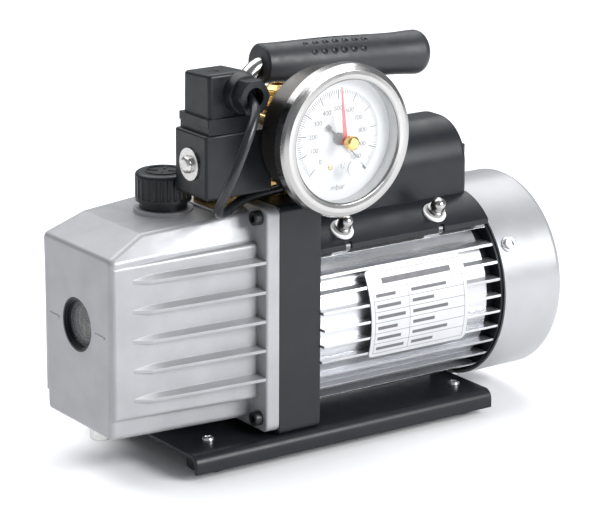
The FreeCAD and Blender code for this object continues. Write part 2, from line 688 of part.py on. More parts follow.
def name_plate():
    """Thin curved plate lying on the fins' edges."""
    low, high = math.radians(-20.0), math.radians(31.7)
    reach = 75.0
    fan = [(0.0, SHAFT_Z)]
    for angle in (low, (low + high) / 2, high):
        fan.append((-reach * math.cos(angle), SHAFT_Z + reach * math.sin(angle)))
    plate = ring_x(*PLATE_X, FIN_R + 0.7, FIN_R).common(prism_x(fan, *PLATE_X))
    return round_edges(plate, 3.0, lambda e: e.Length < 0.8)


# Capacitor cover and electrics

COVER_END = 258.3
SKIRT_START, BOX_START = 133.5, 156.0
COVER_HALF, COVER_TOP = 29.8, 178.8
INLET_Y, SWITCH_Y, PANEL_Z = -9.5, 16.0, 152.0
CABLE_END_Y, CABLE_END_Z = -20.0, 161.0


def skirt(x0, x1, lip, edge, bulge, top):
    """Skirt's section run along X: upright lips, then a bulging slope up to the box, on both sides."""
    def point(y, z):
        return Vector(x0, y, z)
    def slope(side):
        return Part.Arc(point(side * lip[0], edge), point(side * bulge[0], bulge[1]),
                        point(side * top[0], top[1])).toShape()
    edges = [Part.makeLine(point(-lip[0], lip[1]), point(-lip[0], edge)), slope(-1),
             Part.makeLine(point(-top[0], top[1]), point(*top)), slope(1),
             Part.makeLine(point(lip[0], edge), point(*lip)),
             Part.makeLine(point(*lip), point(-lip[0], lip[1]))]
    return Part.Face(Part.Wire(edges)).extrude(Vector(x1 - x0, 0, 0))


def capacitor_cover():
    """Round-topped box on a sloping skirt, open underneath over the motor."""
    wall = 2.2
    def box(x0, x1, half, top, corner):
        lid = block(x0, x1, -half, half, 128.0, top)
        return round_edges(lid, corner, lambda e: along(X_AXIS)(e) and e.CenterOfMass.z > 170.0)
    lid = box(BOX_START, COVER_END, COVER_HALF, COVER_TOP, 26.0)
    lid = round_edges(lid, 3.0, lambda e: abs(e.CenterOfMass.x - COVER_END) < 0.01 and e.CenterOfMass.z > 129.0)
    lid = round_edges(lid, 2.0, lambda e: abs(e.CenterOfMass.x - BOX_START) < 0.01 and e.CenterOfMass.z > 129.0)
    outer = skirt(SKIRT_START, COVER_END, (51.5, 119.8), 122.8, (42.5, 130.2), (29.5, 135.2))
    inner = skirt(SKIRT_START + 2.0, COVER_END - 2.0, (49.5, 119.0), 122.2, (41.3, 128.4), (29.5, 133.0))
    room = box(BOX_START + wall, COVER_END - wall, COVER_HALF - wall, COVER_TOP - wall, 24.0)
    cover = cut(outer.fuse(lid), inner, room, rod_x(120.0, 270.0, 54.2))
    for x in STUD_X:
        stud = cover_stud(x, 2.6, -8.0, 6.0)
        notch = block(x - 2.2, x + 2.2, -53.0, -49.0, 118.0, 124.5)
        cover = cut(cover, stud, mirrored(stud), notch, mirrored(notch))
    through = (COVER_END - 8.0, COVER_END + 2.0)
    cover = cover.cut(block(*through, INLET_Y - 13.6, INLET_Y + 13.6, PANEL_Z - 10.2, PANEL_Z + 10.2))
    cover = cover.cut(block(*through, SWITCH_Y - 6.9, SWITCH_Y + 6.9, PANEL_Z - 11.6, PANEL_Z + 11.6))
    return cover.cut(rod_x(150.0, 162.0, 4.4, CABLE_END_Y, CABLE_END_Z))


def cover_washers():
    washers = []
    for x in STUD_X:
        washer = cover_stud(x, 7.2, 0.05, 1.4).cut(cover_stud(x, 2.6, -1.0, 6.0))
        washers.extend([washer, mirrored(washer)])
    return washers


def cover_nuts():
    """Domed nuts on their studs."""
    nuts = []
    for x in STUD_X:
        dome_top = cover_stud(x, 4.4, 1.4, 12.0)
        dome_top = dome_top.makeFillet(3.6, [max(dome_top.Edges, key=lambda e: e.CenterOfMass.z)])
        nut = fuse(cover_stud(x, 5.4, 1.4, 4.6), dome_top, cover_stud(x, 2.0, -14.0, 2.0))
        nuts.extend([nut, mirrored(nut)])
    return nuts


def run_capacitor():
    """Capacitor with its tags, and the strap that holds it to the pad."""
    z = 150.0
    can = rod_x(166.0, 228.0, 17.0, 0.0, z)
    can = round_edges(can, 1.5, all_edges)
    tags = [block(228.0, 235.0, y - 3.0, y + 3.0, z - 0.4, z + 0.4) for y in (-6.0, 6.0)]
    strap = ring_x(192.0, 200.0, 18.2, 17.0, 0.0, z)
    leg = block(192.0, 200.0, -6.0, 6.0, 128.0, z - 17.6)
    return [fuse(can, *tags), fuse(strap, leg.cut(rod_x(190.0, 202.0, 17.0, 0.0, z)))]


def power_inlet():
    """Three-pin appliance inlet: snap-in shell, open socket and its pins."""
    y, z = INLET_Y, PANEL_Z
    face = COVER_END
    shell = fuse(block(face - 18.0, face, y - 13.5, y + 13.5, z - 10.1, z + 10.1),
                 block(face, face + 2.0, y - 15.2, y + 15.2, z - 11.8, z + 11.8))
    shell = shell.cut(block(face - 14.0, face + 3.0, y - 12.0, y + 12.0, z - 8.2, z + 8.2))
    pins = [block(face - 22.0, face - 1.0, y + dy - 1.0, y + dy + 1.0, z + dz - 1.5, z + dz + 1.5)
            for dy, dz in ((-7.0, -2.0), (7.0, -2.0), (0.0, 4.0))]
    return shell.fuse(pins)


def switch_frame():
    y, z = SWITCH_Y, PANEL_Z
    face = COVER_END
    frame = fuse(block(face - 16.0, face, y - 6.8, y + 6.8, z - 11.5, z + 11.5),
                 block(face, face + 2.0, y - 8.2, y + 8.2, z - 12.9, z + 12.9))
    return frame.cut(block(face - 11.0, face + 3.0, y - 5.6, y + 5.6, z - 10.7, z + 10.7))


ROCKER_PIVOT_X = COVER_END - 3.0


def switch_rocker():
    """Rocker at rest with its top standing proud."""
    points = [(-5.0, -5.0), (5.0, -9.0), (3.4, 0.0), (5.0, 9.0), (-5.0, 5.0)]
    outline = [(ROCKER_PIVOT_X + a, PANEL_Z + b) for a, b in points]
    rocker = prism_y(outline, SWITCH_Y - 5.2, SWITCH_Y + 5.2)
    rocker.rotate(Vector(ROCKER_PIVOT_X, SWITCH_Y, PANEL_Z), Y_AXIS, 10.0)
    return rocker


# Handle

GRIP_X = (125.3, 244.0)
GRIP_Z = 225.0
GRIP_TILT = 3.0
BEND_R = 22.0


def tilted(shape):
    shape.rotate(Vector(GRIP_X[0], 0, GRIP_Z), Y_AXIS, GRIP_TILT)
    return shape


def handle_rod():
    """Chromed rod: upright from the frame, one bend, then along the grip; with its lock nut."""
    bend_z = GRIP_Z + 0.4 - BEND_R
    upright = rod_z(139.0, bend_z, HANDLE_R, HANDLE_X)
    centre = Vector(HANDLE_X + BEND_R, 0, bend_z)
    circle = Part.makeCircle(HANDLE_R, Vector(HANDLE_X, 0, bend_z), Z_AXIS)
    bend = Part.Face(Part.Wire(circle)).revolve(centre, Y_AXIS, 90.0 + GRIP_TILT)
    end = Vector(HANDLE_X, 0, bend_z).sub(centre)
    turned = FreeCAD.Rotation(Y_AXIS, 90.0 + GRIP_TILT)
    start = centre.add(turned.multVec(end))
    heading = turned.multVec(Z_AXIS)
    run = Part.makeCylinder(HANDLE_R, 100.0, start, heading)
    nut = hex_z(FRAME_TOP, FRAME_TOP + 6.0, 17.0, HANDLE_X, 0.0)
    return fuse(upright, bend, run), nut.cut(rod_z(FRAME_TOP - 1, FRAME_TOP + 8, HANDLE_R, HANDLE_X))


def handle_grip():
    """Rubber grip, swelling to a flared end, with staggered rows of dimples on top."""
    stations = [(1.2, 11.9), (20.0, 12.2), (50.0, 13.0), (88.0, 12.7), (101.0, 12.9), (109.0, 13.35), (113.0, 13.5)]
    x0, length = GRIP_X[0], GRIP_X[1] - GRIP_X[0]
    def point(s, r):
        return Vector(x0 + s, 0, GRIP_Z - r)
    side = Part.BSplineCurve()
    side.interpolate([point(s, r) for s, r in stations])
    nose = Part.Arc(point(113.0, 13.5), point(117.0, 12.1), point(length, 9.8)).toShape()
    edges = [Part.makeLine(point(0.0, 0.0), point(0.0, 10.7)),
             Part.makeLine(point(0.0, 10.7), point(1.2, 11.9)),
             side.toShape(), nose,
             Part.makeLine(point(length, 9.8), point(length, 0.0)),
             Part.makeLine(point(length, 0.0), point(0.0, 0.0))]
    grip = Part.Face(Part.Wire(edges)).revolve(Vector(x0, 0, GRIP_Z), X_AXIS, 360)
    pitch = 7.1
    for row, angle in enumerate((-57.0, -28.5, 0.0, 28.5, 57.0)):
        offset = abs(row - 2)
        for i in range(8 - offset):
            s = 25.3 + pitch * (i + offset / 2.0)
            r = 13.0 + 1.1
            lean = math.radians(angle)
            dimple = Part.makeSphere(2.6, Vector(x0 + s, r * math.sin(lean), GRIP_Z + r * math.cos(lean)))
            grip = grip.cut(dimple)
    return tilted(grip)


# Inlet column, solenoid valve and cable

VALVE_X, VALVE_Y, VALVE_Z = (104.0, 138.0), (-42.5, -17.0), (172.0, 204.0)
PORT_X, PORT_Z = 129.0, 186.0
COIL_X = (56.0, 101.0)
FLARE_R = 7.94                      # outside of the 5/8-18 thread on the inlet port
PORT_FACE = -5.0
THREAD_Z = (208.6, 216.6)
PLUNGER_R = 5.1
PLUG_SEAT, PLUG_LOW = 204.6, 209.2
GLAND_X, GLAND_Z = 81.0, 222.0


def inlet_valve_body():
    """Brass column: base, stem, valve block, flare port on top and a second port at the back."""
    x, y = COLUMN_X, COLUMN_Y + 2.0
    shelf = fuse(block(77.0, 93.1, -31.0, -3.5, 150.0, 161.4),
                 block(93.1, 114.0, -31.0, -13.0, FRAME_TOP, 161.4))
    shelf = round_edges(shelf, 0.8, lambda e: e.CenterOfMass.x < 78.0 and e.Length > 5)
    base = hex_z(FRAME_TOP, 163.0, 17.0, x, y)
    stem = rod_z(162.0, VALVE_Z[0] + 1, 6.2, x, y)
    valve = round_edges(block(*VALVE_X, *VALVE_Y, *VALVE_Z), 1.2, all_edges)
    seat = hex_z(VALVE_Z[1] - 1, THREAD_Z[0] - 1.0, 17.0, x, y)
    low, high = THREAD_Z
    flare = turned_z([(low - 2.0, 0.0), (low - 2.0, 6.9), (low, 6.9), (low, FLARE_R), (high, FLARE_R),
                      (high + 2.4, 5.4), (high + 2.4, 0.0)], x, y)
    port = fuse(hex_y(VALVE_Y[1] - 1, VALVE_Y[1] + 3.0, 14.0, PORT_X, PORT_Z),
                rod_y(VALVE_Y[1], PORT_FACE, 5.5, PORT_X, PORT_Z))
    body = fuse(valve, shelf, base, stem, seat, flare, port)
    return cut(body, rod_z(FRAME_TOP - 1, 225.0, 3.6, x, y),
               rod_y(-28.0, PORT_FACE + 1, 2.4, PORT_X, PORT_Z),
               rod_x(VALVE_X[0] - 1, 112.0, 6.5, COIL_Y, COIL_Z),
               rod_x(111.0, COLUMN_X, 3.0, y - 1.0, COIL_Z),
               rod_y(VALVE_Y[0] - 1, -34.0, 5.0, GAUGE_X, GAUGE_Z),
               rod_y(-35.0, y, 2.0, COLUMN_X + 3.0, GAUGE_Z))


def inlet_cap_gasket():
    """Disc that seals the end of the back port."""
    return rod_y(PORT_FACE, PORT_FACE + 1.5, 5.2, PORT_X, PORT_Z)


def inlet_cap():
    """Flare cap over the back port."""
    far = PORT_FACE + 4.5
    cap = rod_y(VALVE_Y[1] + 3.4, far, 7.6, PORT_X, PORT_Z)
    cap = round_edges(cap, 1.2, lambda e: e.CenterOfMass.y > far - 0.1)
    return cap.cut(rod_y(VALVE_Y[1], PORT_FACE + 1.6, 5.9, PORT_X, PORT_Z))


def armature_tube():
    """Steel guide tube with its collar and stud, and the coil's nut and washer."""
    y, z = COIL_Y, COIL_Z
    end = COIL_X[0]
    seat = end - 1.2
    tube = fuse(rod_x(end, 112.0, 6.5, y, z), rod_x(end - 3.0, end, 3.5, y, z),
                hex_x(COIL_X[1] + 0.2, VALVE_X[0], 15.0, y, z))
    tube = tube.cut(rod_x(66.0, 113.0, PLUNGER_R + 0.1, y, z))
    washer = ring_x(seat, end, 9.5, 3.5, y, z)
    nut = rod_x(seat - 3.2, seat, 5.0, y, z)
    nut = round_edges(nut, 2.2, lambda e: e.CenterOfMass.x < seat - 3.1)
    return [tube, washer, nut.cut(rod_x(end - 3.0, end, 3.5, y, z))]


def solenoid_coil():
    """Moulded coil with the stepped seat of its plug."""
    coil = round_edges(block(*COIL_X, -50.0, -17.5, 162.9, 200.2), 1.6, all_edges)
    step = block(59.0, 89.0, -48.6, -19.0, 199.0, PLUG_SEAT)
    return coil.fuse(step).cut(rod_x(50.0, 110.0, 6.5, COIL_Y, COIL_Z))


def solenoid_plunger():
    return rod_x(75.0, 110.0, PLUNGER_R, COIL_Y, COIL_Z)


def plunger_spring():
    """Return spring between the tube's end and the plunger, as a sleeve with a ridge for each coil."""
    x0, pitch, wire, coils = 66.6, 1.6, 0.8, 5
    outline = [(x0, 3.0)]
    for i in range(coils):
        x = x0 + i * pitch
        outline.extend([(x, 3.8), (x + wire, 3.8), (x + wire, 3.3), (x + pitch, 3.3)])
    outline.append((x0 + coils * pitch, 3.0))
    return turned_x(outline, COIL_Y, COIL_Z)


def din_connector():
    """Square plug with its seal, screw and cable gland."""
    seal = round_edges(block(58.4, 90.0, -49.2, -18.2, PLUG_SEAT, PLUG_LOW), 0.8, along(Z_AXIS))
    outline = [(-48.0, PLUG_LOW), (-47.6, 234.6), (-21.0, 233.0), (-20.5, PLUG_LOW)]
    box = round_edges(prism_x(outline, 60.0, 86.0), 2.2, lambda e: e.CenterOfMass.z > PLUG_LOW + 1)
    boss = turned_y([(-54.0, 0.0), (-54.0, 10.6), (-53.6, 11.0), (-47.6, 12.3), (-46.0, 12.3), (-46.0, 0.0)],
                    GLAND_X, GLAND_Z)
    screw_x, screw_y, screw_low = 69.5, -37.8, 230.5
    box = fuse(box, boss).cut(rod_z(screw_low, 240.0, 3.2, screw_x, screw_y))
    screw = rod_z(screw_low, 233.7, 2.9, screw_x, screw_y)
    screw = screw.cut(block(screw_x - 4, screw_x + 4, screw_y - 0.4, screw_y + 0.4, 232.7, 235.0))
    nut = hex_y(-62.5, -54.0, 18.5, GLAND_X, GLAND_Z)
    nut = nut.common(turned_y([(-62.5, 0.0), (-62.5, 9.2), (-61.0, 10.8), (-54.0, 10.8), (-54.0, 0.0)],
                              GLAND_X, GLAND_Z))
    nut = nut.cut(rod_y(-63.0, -53.0, 5.6, GLAND_X, GLAND_Z))
    return [seal, box, screw, nut]


# The valve's lead runs from the gland down to the tank, across the frame and into the cover.
CABLE_ROUTE = [
    (80.8, -55.0, 221.6), (79.0, -64.6, 219.4), (74.4, -72.2, 214.2), (68.2, -76.2, 206.4),
    (63.2, -77.2, 196.8), (59.2, -76.4, 186.8), (56.2, -73.2, 176.8), (55.2, -67.4, 167.2),
    (57.2, -60.2, 159.6), (63.2, -53.8, 155.2), (71.4, -48.4, 154.8), (80.4, -43.8, 156.8),
    (89.8, -40.8, 158.6), (99.8, -40.4, 159.4), (109.8, -42.2, 161.0), (119.4, -43.8, 163.0),
    (128.4, -41.8, 164.2), (136.6, -36.4, 163.8), (144.0, -29.8, 162.4), (151.4, -23.8, 161.2),
    (160.4, -20.0, 161.0),
]
LONGEST_ARC_SHARE = 0.45


def valve_cable():
    """Tube of straight runs joined by tangent arcs; prints its length and bend radii."""
    points = [Vector(*p) for p in CABLE_ROUTE]
    edges = []
    radii = []
    here = points[0]
    for before, corner, after in zip(points, points[1:], points[2:]):
        run_in, run_out = corner.sub(before), after.sub(corner)
        shorter = min(run_in.Length, run_out.Length)
        turn = run_in.getAngle(run_out)
        setback = LONGEST_ARC_SHARE * shorter
        radii.append(setback / math.tan(turn / 2))
        run_in.normalize()
        run_out.normalize()
        arc_start = corner.sub(run_in * setback)
        arc_end = corner.add(run_out * setback)
        towards = run_out.sub(run_in).normalize()
        depth = radii[-1] * (1 / math.cos(turn / 2) - 1)
        arc_mid = corner.add(towards * depth)
        edges.append(Part.makeLine(here, arc_start))
        edges.append(Part.Arc(arc_start, arc_mid, arc_end).toShape())
        here = arc_end
    edges.append(Part.makeLine(here, points[-1]))
    path = Part.Wire(edges)
    heading = points[1].sub(points[0])
    section = Part.Wire(Part.makeCircle(CABLE_R, points[0], heading))
    tube = path.makePipeShell([section], True, False)
    length = path.Length
    wanted = math.pi * CABLE_R ** 2 * length
    print("cable: length %.1f, volume %.4f of section x length, radii %s"
          % (length, tube.Volume / wanted, ", ".join("%.1f" % r for r in radii)))
    return tube


# Gauge

DIAL_R = 36.0
CASE_BACK, CASE_FRONT = -50.0, -76.0
DIAL_Y, LENS_Y = -72.0, (-81.4, -80.2)      # fronts towards -Y
ARBOR_R = 1.2


def gauge_case():
    """Cup with a rear boss, and the threaded stem into the valve block."""
    case = turned_y([(CASE_FRONT, 39.0), (CASE_BACK - 2.0, 39.0), (CASE_BACK, 37.0), (CASE_BACK, 0.0),
                     (CASE_BACK - 2.0, 0.0), (CASE_BACK - 2.0, 37.8), (CASE_FRONT, 37.8)], GAUGE_X, GAUGE_Z)
    stem = fuse(hex_y(CASE_BACK, VALVE_Y[0], 14.0, GAUGE_X, GAUGE_Z),
                rod_y(VALVE_Y[0] - 1, -35.0, 5.0, GAUGE_X, GAUGE_Z))
    return [case, stem.cut(rod_y(CASE_BACK - 1, -30.0, 1.5, GAUGE_X, GAUGE_Z))]


def gauge_bezel():
    """Rolled steel ring, crowned at the front and turned in to the glass, and the wall round the dial."""
    ring = turned_y([(-71.5, 39.1), (-71.5, 43.0), (-73.0, 44.4), (-79.0, 44.4), (-81.2, 43.3), (-82.4, 40.9),
                     (-82.6, 38.6), (-82.2, 36.4), (-81.5, 35.5), (-81.5, 39.1)], GAUGE_X, GAUGE_Z)
    wall = turned_y([(LENS_Y[1], DIAL_R + 1.6), (LENS_Y[1], DIAL_R), (DIAL_Y, DIAL_R), (DIAL_Y, DIAL_R + 1.6)],
                    GAUGE_X, GAUGE_Z)
    return [ring, wall]


def gauge_lens():
    return rod_y(*LENS_Y, 39.0, GAUGE_X, GAUGE_Z).cut(rod_y(-90.0, -70.0, ARBOR_R + 0.3, GAUGE_X, GAUGE_Z))


def gauge_dial():
    return rod_y(DIAL_Y, DIAL_Y + 0.8, 37.6, GAUGE_X, GAUGE_Z).cut(rod_y(-75.0, -60.0, 1.6, GAUGE_X, GAUGE_Z))


def gauge_movement():
    """Curved pressure tube and the plate that carries the pinion."""
    tube = Part.makeTorus(25.0, 3.0, Vector(GAUGE_X, -60.0, GAUGE_Z), Y_AXIS, -180, 180, 260)
    plate = block(GAUGE_X - 9.0, GAUGE_X + 9.0, -66.5, -65.0, GAUGE_Z - 12.0, GAUGE_Z + 12.0)
    posts = [rod_y(-65.0, CASE_BACK - 2.0, 2.0, GAUGE_X + dx, GAUGE_Z + dz) for dx, dz in ((-6, 9), (6, -9))]
    plate = fuse(plate, *posts).cut(rod_y(-70.0, -60.0, 1.5, GAUGE_X, GAUGE_Z))
    return [tube, plate]


NEEDLE_ANGLE = math.radians(-44.0)          # at rest it points at atmospheric pressure
SET_ANGLE = math.radians(95.3)


def hand(y0, y1, outline, angle):
    """Flat pointer lying across the gauge's axis; outline runs along its own length."""
    points = []
    for along_hand, across in outline:
        x = GAUGE_X + along_hand * math.cos(angle) - across * math.sin(angle)
        z = GAUGE_Z + along_hand * math.sin(angle) + across * math.cos(angle)
        points.append((x, z))
    return prism_y(points, y0, y1)


def gauge_needle():
    """Needle with its hub, arbor and counterweight."""
    front, back = DIAL_Y - 1.9, DIAL_Y - 1.4
    blade = hand(front, back, [(18.3, -0.15), (18.3, 0.15), (0.0, 0.8), (-9.4, 0.6), (-9.4, -0.6), (0.0, -0.8)],
                 NEEDLE_ANGLE)
    weight = hand(front, back, [(-8.8, -1.6), (-8.8, 1.6), (-12.0, 1.3), (-12.0, -1.3)], NEEDLE_ANGLE)
    hub = fuse(rod_y(DIAL_Y - 2.6, DIAL_Y - 0.6, 3.6, GAUGE_X, GAUGE_Z),
               rod_y(DIAL_Y - 1.0, -64.0, ARBOR_R, GAUGE_X, GAUGE_Z))
    return fuse(blade, weight, hub)


def set_pointer():
    """Red hand under the glass, and the knob outside that turns it."""
    front, back = LENS_Y[1] + 0.6, LENS_Y[1] + 1.1
    blade = hand(front, back, [(31.5, -0.25), (31.5, 0.25), (3.0, 1.3), (-2.2, 1.3), (-2.2, -1.3), (3.0, -1.3)],
                 SET_ANGLE)
    hub = fuse(rod_y(LENS_Y[1] + 0.4, LENS_Y[1] + 1.6, 2.6, GAUGE_X, GAUGE_Z),
               rod_y(LENS_Y[0] - 2.0, LENS_Y[1] + 1.0, ARBOR_R, GAUGE_X, GAUGE_Z))
    knob = turned_y([(KNOB_Y, 0.0), (KNOB_Y, 2.9), (KNOB_Y + 0.9, 4.0), (KNOB_Y + 4.2, 4.1), (KNOB_Y + 4.6, 3.2),
                     (LENS_Y[0] - 0.4, 3.0), (LENS_Y[0] - 0.4, ARBOR_R), (LENS_Y[0] - 2.0, ARBOR_R),
                     (LENS_Y[0] - 2.0, 0.0)], GAUGE_X, GAUGE_Z)
    return [fuse(blade, hub), knob]


# Every node

NODES = {
    "base_plate": [base_plate()],
    "rubber_feet": [rubber_foot(x, y) for x, y in FOOT_XY],
    "foot_screws": [pan_screw_z(BASE_TOP, x, y, 3.6, 2.4, SCREW_R, 9.0) for x, y in FOOT_XY],
    "machine_bolts": machine_bolts(),
    "frame_casting": [frame_casting()],
    "oil_tank": [oil_tank()],
    "tank_gasket": [tank_gasket()],
    "tank_screws": tank_screws(),
    "sight_glass_ring": [sight_glass_ring()],
    "sight_glass": [sight_glass()],
    "oil_metering_valve": [oil_metering_valve()],
    "oil_filler_neck": [oil_filler_neck()],
    "filler_cap_seal": [filler_cap_seal()],
    "oil_filler_cap": [oil_filler_cap()],
    "drain_seal": [drain_seal()],
    "drain_plug": [drain_plug()],
    "first_stage_stator": [first_stage_stator()],
    "second_stage_stator": [stator(STAGE_X[1], STAGE_X[2])],
    "stage_plates": stage_plates() + exhaust_stops(),
    "exhaust_leaves": exhaust_leaves(),
    "pump_rotor": [pump_rotor()],
    "vanes": vanes(),
    "shaft_seal": [shaft_seal()],
    "shaft_coupling": [shaft_coupling()],
    "motor_housing": [motor_housing()],
    "end_shields": end_shields(),
    "motor_stator": motor_stator(),
    "motor_rotor": motor_rotor(),
    "bearing_outer_rings": bearing_rings(14.8, BEARING_OD),
    "bearing_inner_rings": bearing_rings(BEARING_BORE, 10.2),
    "bearing_cages": bearing_cages(),
    "cooling_fan": [cooling_fan()],
    "fan_cowl": [fan_cowl()],
    "cowl_screws": cowl_screws(),
    "name_plate": [name_plate()],
    "capacitor_cover": [capacitor_cover()],
    "cover_washers": cover_washers(),
    "cover_nuts": cover_nuts(),
    "run_capacitor": run_capacitor(),
    "power_inlet": [power_inlet()],
    "switch_frame": [switch_frame()],
    "switch_rocker": [switch_rocker()],
    "handle_rod": list(handle_rod()),
    "handle_grip": [handle_grip().cut(handle_rod()[0])],
    "inlet_valve_body": [inlet_valve_body()],
    "inlet_cap_gasket": [inlet_cap_gasket()],
    "inlet_cap": [inlet_cap()],
    "armature_tube": armature_tube(),
    "solenoid_coil": [solenoid_coil()],
    "solenoid_plunger": [solenoid_plunger()],
    "plunger_spring": [plunger_spring()],
    "din_connector": din_connector(),
    "valve_cable": [valve_cable()],
    "gauge_case": gauge_case(),
    "gauge_bezel": gauge_bezel(),
    "gauge_lens": [gauge_lens()],
    "gauge_dial": [gauge_dial()],
    "gauge_movement": gauge_movement(),
    "gauge_needle": [gauge_needle()],
    "set_pointer": set_pointer(),
}

for node, solids in NODES.items():
    export(node, *solids)
print("%d nodes" % len(NODES))
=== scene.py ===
"""Looks of the two-stage rotary vane vacuum pump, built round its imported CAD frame.

Lengths are in metres; a value given in millimetres is multiplied by MM.
"""
import json
import math

import bmesh
import bpy
from mathutils import Matrix, Vector


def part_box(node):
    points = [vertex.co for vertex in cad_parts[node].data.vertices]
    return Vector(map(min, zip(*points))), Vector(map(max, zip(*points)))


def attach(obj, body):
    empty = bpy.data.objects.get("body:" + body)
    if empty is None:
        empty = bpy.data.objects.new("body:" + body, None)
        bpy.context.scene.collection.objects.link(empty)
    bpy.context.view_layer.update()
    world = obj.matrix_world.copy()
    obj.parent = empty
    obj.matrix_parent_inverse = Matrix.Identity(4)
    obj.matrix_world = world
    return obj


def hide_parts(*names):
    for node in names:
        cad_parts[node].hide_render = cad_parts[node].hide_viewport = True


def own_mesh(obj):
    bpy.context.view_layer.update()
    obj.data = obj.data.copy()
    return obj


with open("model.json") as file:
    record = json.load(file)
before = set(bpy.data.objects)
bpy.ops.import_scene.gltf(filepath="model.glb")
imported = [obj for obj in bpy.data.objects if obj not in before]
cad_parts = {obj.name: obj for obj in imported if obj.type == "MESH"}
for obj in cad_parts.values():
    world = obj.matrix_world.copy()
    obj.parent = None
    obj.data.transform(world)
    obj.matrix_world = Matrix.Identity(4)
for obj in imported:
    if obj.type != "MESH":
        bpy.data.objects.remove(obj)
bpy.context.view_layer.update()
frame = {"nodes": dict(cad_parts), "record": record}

MM = 0.001
nodes = frame["nodes"]


# Places read from the frame

def middle(node):
    low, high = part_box(node)
    return (low + high) / 2


def at(x, y, z):
    """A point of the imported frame, given in millimetres."""
    return Vector((x * MM, y * MM, z * MM))


GAUGE = middle("gauge_bezel")
DIAL_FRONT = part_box("gauge_dial")[0].y
LENS_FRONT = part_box("gauge_lens")[0].y
SHAFT = middle("motor_rotor")
INLET_PORT = next(Vector(m["pos_m"]) for m in frame["record"]["mounts"] if m["name"] == "inlet_port")


# Camera

CAMERA_TARGET = at(-3.89, 13.0, 102.34)
CAMERA_BEARING, CAMERA_RISE, CAMERA_ROLL = (math.radians(a) for a in (-34.9575, 16.0681, 0.2703))
CAMERA_DISTANCE = 1.66557
CAMERA_NEAR = 0.05
LENS_MM = 166.48
SENSOR_MM = 36.0


def add_camera():
    """The photo's view: turned about the target, tipped down and rolled a little."""
    camera = bpy.data.objects.new("camera", bpy.data.cameras.new("camera"))
    camera.data.lens = LENS_MM
    camera.data.sensor_width = SENSOR_MM
    camera.data.clip_start = CAMERA_NEAR
    turn = Matrix.Rotation(CAMERA_BEARING, 4, "Z") @ Matrix.Rotation(math.pi / 2 - CAMERA_RISE, 4, "X")
    turn = turn @ Matrix.Rotation(CAMERA_ROLL, 4, "Z")
    away = turn.to_3x3() @ Vector((0.0, 0.0, CAMERA_DISTANCE))
    camera.matrix_world = Matrix.Translation(CAMERA_TARGET + away) @ turn
    bpy.context.scene.collection.objects.link(camera)
    bpy.context.scene.camera = camera


add_camera()


# Material helpers

NOISE_ROUGHNESS = 0.55
NOISE_RANGE = (0.3, 0.7)
TINT_RANGE = (0.35, 0.65)
GRAIN_DETAIL, MOTTLE_DETAIL, GLOSS_DETAIL = 3.0, 4.0, 5.0
GLOSS_TO_MOTTLE = 1.7
LOWEST_ROUGHNESS = 0.02
EDGE_SAMPLES = 6
SOFT_EDGE = 0.4 * MM
EVEN = (1.0, 1.0, 1.0)
BRUSHED_X = (0.03, 1.0, 1.0)


def new_material(name, colour, roughness, metallic=0.0, **sockets):
    material = bpy.data.materials.new(name)
    material.use_nodes = True
    shader = material.node_tree.nodes["Principled BSDF"]
    shader.inputs["Base Color"].default_value = (*colour, 1.0)
    shader.inputs["Roughness"].default_value = roughness
    shader.inputs["Metallic"].default_value = metallic
    for socket, value in sockets.items():
        shader.inputs[socket.replace("_", " ")].default_value = value
    return material, material.node_tree, shader


def add_noise(tree, scale, detail=GRAIN_DETAIL, stretch=EVEN):
    """Noise over the object's own coordinates; scale is in cells per metre."""
    place = tree.nodes.new("ShaderNodeTexCoord")
    mapping = tree.nodes.new("ShaderNodeMapping")
    mapping.inputs["Scale"].default_value = stretch
    noise = tree.nodes.new("ShaderNodeTexNoise")
    noise.inputs["Scale"].default_value = scale
    noise.inputs["Detail"].default_value = detail
    noise.inputs["Roughness"].default_value = NOISE_ROUGHNESS
    tree.links.new(place.outputs["Object"], mapping.inputs["Vector"])
    tree.links.new(mapping.outputs["Vector"], noise.inputs["Vector"])
    return noise.outputs["Fac"]


def vary(tree, socket, factor, low, high):
    """Drive a number socket between low and high with a noise."""
    spread = tree.nodes.new("ShaderNodeMapRange")
    spread.inputs["From Min"].default_value, spread.inputs["From Max"].default_value = NOISE_RANGE
    spread.inputs["To Min"].default_value = low
    spread.inputs["To Max"].default_value = high
    tree.links.new(factor, spread.inputs["Value"])
    tree.links.new(spread.outputs["Result"], socket)


def tint(tree, socket, factor, first, second):
    """Drive a colour socket between two colours with a noise."""
    ramp = tree.nodes.new("ShaderNodeValToRGB")
    for stop, position, colour in zip(ramp.color_ramp.elements, TINT_RANGE, (first, second)):
        stop.position = position
        stop.color = (*colour, 1.0)
    tree.links.new(factor, ramp.inputs["Fac"])
    tree.links.new(ramp.outputs["Color"], socket)


def roughen(tree, shader, height, depth, edge):
    """Bump of a given depth, over normals that a bevel of radius edge softens at sharp edges."""
    bump = tree.nodes.new("ShaderNodeBump")
    bump.inputs["Distance"].default_value = depth
    bump.inputs["Strength"].default_value = 1.0
    tree.links.new(height, bump.inputs["Height"])
    if edge > 0.0:
        bevel = tree.nodes.new("ShaderNodeBevel")
        bevel.samples = EDGE_SAMPLES
        bevel.inputs["Radius"].default_value = edge
        tree.links.new(bevel.outputs["Normal"], bump.inputs["Normal"])
    tree.links.new(bump.outputs["Normal"], shader.inputs["Normal"])


